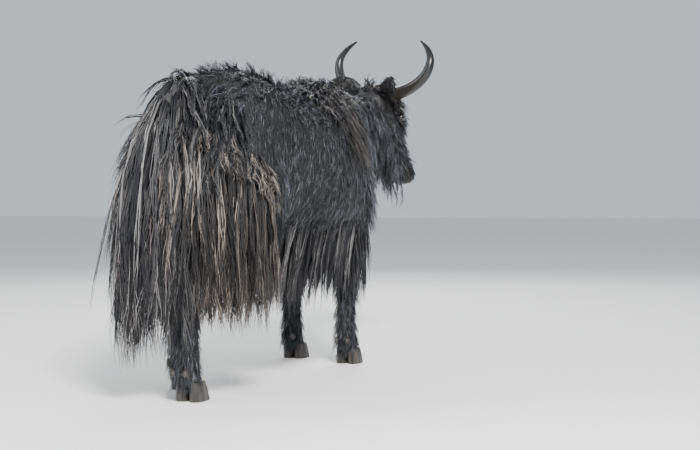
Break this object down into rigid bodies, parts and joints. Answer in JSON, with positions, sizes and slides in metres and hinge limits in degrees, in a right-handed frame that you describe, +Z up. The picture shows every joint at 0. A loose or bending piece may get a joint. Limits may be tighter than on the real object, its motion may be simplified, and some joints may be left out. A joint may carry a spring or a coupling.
{
  "type": "yak",
  "caption": "Standing yak cow, long-haired, horned, life-size and still, with a skirt of hair on flanks and thighs and a full tail.",
  "frame": {"origin": "on the ground under the middle of the animal's overall box, at the level of the hoof soles", "axes": "+Z up, +Y the way the body faces (towards the head), +X the animal's right side; the head turns about 21 degrees to the right of the body"},
  "size_m": [0.6766, 1.875, 1.3507],
  "materials": {
    "short_coat": "short dense hair, dark grey-black with a cool sheen",
    "long_coat": "long hair, black at the root, weathered grey-brown at the tips",
    "muzzle": "bare dark skin, matt to slightly moist",
    "udder": "bare skin, grey-pink under thin hair",
    "horn": "smooth horn, dark olive-grey, ringed at the base",
    "hoof": "horny, dark grey",
    "eye": "wet, near black"
  },
  "bodies": {
    "root": {"hindquarters": "short_coat", "shoulders": "short_coat", "barrel": "short_coat", "right_flank": "long_coat", "left_flank": "long_coat", "neck": "short_coat", "right_eye": "eye", "left_eye": "eye", "head": "short_coat", "muzzle": "muzzle", "right_horn": "horn", "left_horn": "horn", "right_ear": "short_coat", "left_ear": "short_coat", "hind_right_shank": "short_coat", "hind_right_thigh": "long_coat", "hind_right_hoof_inner": "hoof", "hind_right_dewclaw_inner": "hoof", "hind_right_hoof_outer": "hoof", "hind_right_dewclaw_outer": "hoof", "hind_left_shank": "short_coat", "hind_left_thigh": "long_coat", "hind_left_hoof_inner": "hoof", "hind_left_dewclaw_inner": "hoof", "hind_left_hoof_outer": "hoof", "hind_left_dewclaw_outer": "hoof", "fore_right_shank": "short_coat", "fore_right_arm": "short_coat", "fore_right_hoof_inner": "hoof", "fore_right_dewclaw_inner": "hoof", "fore_right_hoof_outer": "hoof", "fore_right_dewclaw_outer": "hoof", "fore_left_shank": "short_coat", "fore_left_arm": "short_coat", "fore_left_hoof_inner": "hoof", "fore_left_dewclaw_inner": "hoof", "fore_left_hoof_outer": "hoof", "fore_left_dewclaw_outer": "hoof", "udder": "udder", "brisket": "long_coat", "tail": "long_coat"}
  },
  "joints": []
}
